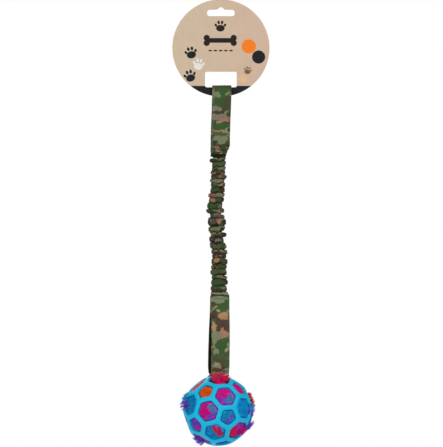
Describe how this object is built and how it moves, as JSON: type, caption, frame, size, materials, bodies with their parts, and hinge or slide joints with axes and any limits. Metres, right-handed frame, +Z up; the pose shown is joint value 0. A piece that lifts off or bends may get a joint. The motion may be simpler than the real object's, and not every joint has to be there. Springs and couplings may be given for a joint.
{
  "type": "dog tug toy",
  "caption": "Dog tug toy on its round hang card: strap handle, gathered bungee, strap loop and a lattice ball filled with coloured fur.",
  "frame": {"origin": "middle of the slot by which the hang card hangs on a peg", "axes": "+Z up along the toy, which hangs down from the slot; the front faces -Y; +X to the right from the front"},
  "size_m": [0.118, 0.084, 0.5414],
  "materials": {
    "card": "matt brown kraft card",
    "camouflage": "woven strap in green, brown and tan camouflage",
    "thread": "olive sewing thread in close rows",
    "elastic": "covered elastic band",
    "cyan_rubber": "smooth satin rubber",
    "stuffing": "packed fibre",
    "blue_fur": "long-pile plush",
    "orange_fur": "long-pile plush",
    "pink_fur": "long-pile plush",
    "purple_fur": "long-pile plush",
    "teal_fur": "long-pile plush"
  },
  "bodies": {
    "tag": {"hang_tag": "card"},
    "handle": {"handle_loop": "camouflage", "handle_tack_front": "thread", "handle_tack_back": "thread"},
    "bungee": {"bungee_sleeve": "camouflage", "bungee_elastic": "elastic"},
    "sleeve_end": {"sleeve_hem": "camouflage", "hem_tack_front": "thread", "hem_tack_back": "thread"},
    "loop": {"ball_loop": "camouflage", "loop_tack_front": "thread", "loop_tack_back": "thread"},
    "ball": {"lattice_ball": "cyan_rubber", "fur_core": "stuffing", "fur_blue_1": "blue_fur", "fur_blue_2": "blue_fur", "fur_blue_3": "blue_fur", "fur_blue_4": "blue_fur", "fur_blue_5": "blue_fur", "fur_blue_6": "blue_fur", "fur_blue_7": "blue_fur", "fur_orange_1": "orange_fur", "fur_orange_2": "orange_fur", "fur_orange_3": "orange_fur", "fur_orange_4": "orange_fur", "fur_orange_5": "orange_fur", "fur_orange_6": "orange_fur", "fur_pink_1": "pink_fur", "fur_pink_2": "pink_fur", "fur_pink_3": "pink_fur", "fur_pink_4": "pink_fur", "fur_pink_5": "pink_fur", "fur_pink_6": "pink_fur", "fur_pink_7": "pink_fur", "fur_pink_8": "pink_fur", "fur_pink_9": "pink_fur", "fur_purple_1": "purple_fur", "fur_purple_2": "purple_fur", "fur_purple_3": "purple_fur", "fur_purple_4": "purple_fur", "fur_purple_5": "purple_fur", "fur_teal_1": "teal_fur", "fur_teal_2": "teal_fur", "fur_teal_3": "teal_fur", "fur_teal_4": "teal_fur", "fur_teal_5": "teal_fur"}
  },
  "joints": [
    {"name": "handle_swing", "type": "hinge", "parent": "tag", "child": "handle", "pos_m": [0, 0, -0.0902], "axis": [1, 0, 0], "range_deg": [-25, 25]},
    {"name": "bungee_bend", "type": "hinge", "parent": "handle", "child": "bungee", "pos_m": [0, 0, -0.1711], "axis": [1, 0, 0], "range_deg": [-85, 85]},
    {"name": "bungee_stretch", "type": "slide", "parent": "bungee", "child": "sleeve_end", "axis": [0, 0, -1], "range_m": [0, 0.12], "stiffness_N_per_m": 120, "springref_m": -0.02, "deforming": ["bungee_sleeve", "bungee_elastic"]},
    {"name": "loop_bend", "type": "hinge", "parent": "sleeve_end", "child": "loop", "pos_m": [0, 0, -0.341], "axis": [1, 0, 0], "range_deg": [-85, 85]},
    {"name": "ball_swing", "type": "hinge", "parent": "loop", "child": "ball", "pos_m": [-0.00642, 0, -0.4431], "axis": [0.9515, 0.298, 0.0767], "range_deg": [-20, 20]}
  ]
}
